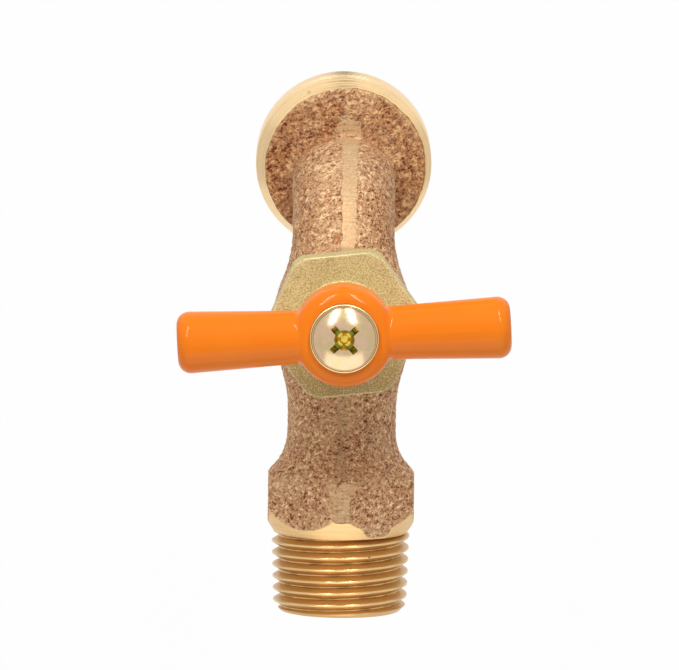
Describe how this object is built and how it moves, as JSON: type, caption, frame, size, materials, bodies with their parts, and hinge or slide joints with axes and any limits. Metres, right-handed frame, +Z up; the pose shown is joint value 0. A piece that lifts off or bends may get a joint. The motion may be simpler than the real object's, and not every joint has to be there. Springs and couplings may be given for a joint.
{
  "type": "garden tap",
  "caption": "Wall-mounted screw-down garden tap with a T-handle, hexagon gland nut, male pipe inlet and a bent spout ending in a round turned mouth.",
  "frame": {"origin": "centre of the inlet's end face, on the inlet's axis", "axes": "+Y into the wall along the inlet's axis, +Z up along the spindle; the spout reaches along -Y and bends down"},
  "size_m": [0.0496, 0.0812, 0.0663],
  "materials": {
    "cast_body": "rough sand-cast bronze with turned and ground faces",
    "gland_nut": "fine blasted brass",
    "ring_metal": "turned",
    "packing_rubber": "moulded",
    "spindle_metal": "turned",
    "jumper_metal": "turned",
    "washer_rubber": "moulded",
    "handle_paint": "gloss",
    "zinc_plate": "yellow passivated zinc plate"
  },
  "bodies": {
    "tap": {"tap_body": "cast_body", "bonnet_nut": "gland_nut", "packing_ring": "ring_metal", "gland_packing": "packing_rubber"},
    "valve": {"jumper_valve": "jumper_metal", "jumper_washer": "washer_rubber", "jumper_nut": "jumper_metal"},
    "spindle": {"spindle": "spindle_metal", "handle": "handle_paint", "screw_washer": "zinc_plate", "handle_screw": "zinc_plate"}
  },
  "joints": [
    {"name": "valve_lift", "type": "slide", "parent": "tap", "child": "valve", "axis": [0, 0, 1], "range_m": [0, 0.0041]},
    {"name": "handle_turn", "type": "hinge", "parent": "valve", "child": "spindle", "pos_m": [0, -0.046, 0.033], "axis": [0, 0, 1], "range_deg": [0, 720]}
  ],
  "couplings": [
    {"joint": "valve_lift", "follows": "handle_turn", "m_per_rad": 0.00031831}
  ]
}
